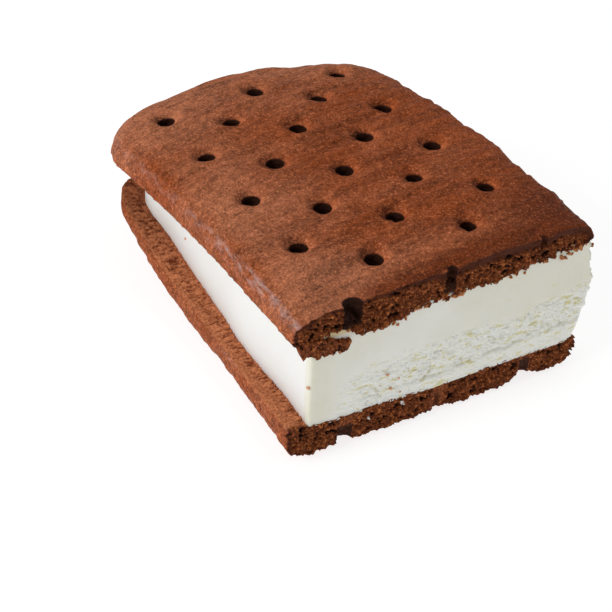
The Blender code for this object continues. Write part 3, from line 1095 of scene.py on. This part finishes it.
CAMERA_PLACE = (-111.46, -158.98, 147.00)
CAMERA_RIGHT = (0.85688, -0.50969, 0.07724)
CAMERA_DOWN = (-0.26196, -0.55957, -0.7863)
CAMERA_FORWARD = (0.44399, 0.65353, -0.613)
CAMERA_FOCAL = 85.3
SKY_STRENGTH = 0.485
TABLE_HALF = 3.0  # metres
TABLE_CLEARANCE = 0.0004  # metres, under the uneven wafer
TABLE_DARK = (0.36, 0.36, 0.36)
TABLE_LIGHT = (0.38, 0.38, 0.38)
TABLE_GLOW = 0.79
KEY_PLACE = (-0.62, 0.0, 0.40)  # metres
KEY_SIZE = 0.30
KEY_POWER = 2.1


def look_from(place, rows, focal):
    """A camera at a place in millimetres, given its right, down and forward directions."""
    lens = bpy.data.cameras.new("view")
    lens.lens = focal
    lens.clip_start = 0.01
    view = bpy.data.objects.new("view", lens)
    right, down, forward = (Vector(row) for row in rows)
    turn = Matrix((right, -down, -forward)).transposed().to_4x4()
    view.matrix_world = Matrix.Translation(Vector(place) * MM) @ turn
    bpy.context.scene.collection.objects.link(view)
    bpy.context.scene.camera = view


def add_light(name, place, size, power):
    """A round lamp at a place in metres, turned to the middle of the table."""
    lamp = bpy.data.lights.new(name, "AREA")
    lamp.shape = "DISK"
    lamp.size = size
    lamp.energy = power
    light = bpy.data.objects.new(name, lamp)
    light.location = place
    light.rotation_euler = (-Vector(place)).to_track_quat("-Z", "Y").to_euler()
    bpy.context.scene.collection.objects.link(light)


def add_floor():
    """A plain pale table that glows a little, as a lit sheet does."""
    mesh = bpy.data.meshes.new("table")
    half = TABLE_HALF
    mesh.from_pydata([(-half, -half, 0), (half, -half, 0), (half, half, 0), (-half, half, 0)], [],
                     [(0, 1, 2, 3)])
    material, tree, shader, p = shader_start("pale_table")
    pale = blended(tree, TABLE_DARK, TABLE_LIGHT, (noise(p, 60.0, seed=99) + 0.5).share())
    tree.links.new(pale, shader.inputs["Base Color"])
    shader.inputs["Roughness"].default_value = 0.9
    shader.inputs["Specular IOR Level"].default_value = 0.0
    shader.inputs["Emission Color"].default_value = (1.0, 1.0, 1.0, 1.0)
    shader.inputs["Emission Strength"].default_value = TABLE_GLOW
    mesh.materials.append(material)
    floor = bpy.data.objects.new("table", mesh)
    floor.location.z = -TABLE_CLEARANCE
    bpy.context.scene.collection.objects.link(floor)


def add_world(strength):
    world = bpy.data.worlds.new("studio")
    world.use_nodes = True
    world.node_tree.nodes["Background"].inputs["Color"].default_value = (1.0, 1.0, 1.0, 1.0)
    world.node_tree.nodes["Background"].inputs["Strength"].default_value = strength
    bpy.context.scene.world = world


look_from(CAMERA_PLACE, (CAMERA_RIGHT, CAMERA_DOWN, CAMERA_FORWARD), CAMERA_FOCAL)
bpy.context.scene.view_settings.view_transform = "Standard"
add_world(SKY_STRENGTH)
add_light("key", KEY_PLACE, KEY_SIZE, KEY_POWER)
add_floor()


# ---------------------------------------------------------------- the sandwich


fineness = 1.0
FIRST_CELL = 0.11 / fineness
LAYER_LENGTH = 69.0


def steps(*counts):
    """How many cells a layer's block has along X, Y and Z."""
    return tuple(int(count * fineness) for count in counts)


# Each layer grows in a space a little larger than its solid, from its lowest corner to its highest X and Z.
wafer_top = grow_layer("wafer_top_baked", top_wafer_shape, top_wafer_worked, top_wafer_finish(),
                       (TOP_LOW.x - 1.2, CUT - 1.0, TOP_LOW.z - 1.0), (TOP_HIGH.x + 1.6, TOP_HIGH.z + 0.9),
                       steps(440, 270, 110), FIRST_CELL, LAYER_LENGTH)
wafer_lower = grow_layer("wafer_bottom_baked", lower_wafer_shape, lower_wafer_worked, lower_wafer_finish(),
                         (LOWER_LOW.x - 1.2, CUT - 1.0, LOWER_LOW.z - 0.8),
                         (LOWER_HIGH.x + 1.2, LOWER_HIGH.z + 0.9), steps(440, 270, 130), FIRST_CELL,
                         LAYER_LENGTH)
ice_cream = grow_layer("ice_cream_slab", cream_shape, cream_worked, cream_finish(),
                       (CREAM_LOW.x - 1.5, CUT - 1.0, CREAM_LOW.z - 1.5),
                       (CREAM_HIGH.x + 1.2, CREAM_HIGH.z + 1.5), steps(420, 260, 170), FIRST_CELL,
                       LAYER_LENGTH)

loose = crumb_finish()
fringe_crumbs = scattered("crumbs_under_wafer", ice_cream, loose,
                          {"Crumbs on a square millimetre": 0.9, "Half width": 0.27, "Seed": 5})
single_crumbs = spotted("single_crumbs", CRUMB_SPOTS, loose, 107)
crumbs = merged("loose_crumbs", (fringe_crumbs, single_crumbs), loose)
specks = spotted("ice_specks", ICE_SPOTS, ice_speck_finish(), 109)

for piece, node, slot in (
    (wafer_top, "wafer_top", "chocolate_wafer"),
    (wafer_lower, "wafer_bottom", "chocolate_wafer"),
    (ice_cream, "ice_cream", "vanilla_ice_cream"),
    (crumbs, "wafer_top", "chocolate_wafer"),
    (specks, "ice_cream", "vanilla_ice_cream"),
):
    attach(piece, "root")
    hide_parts(node)
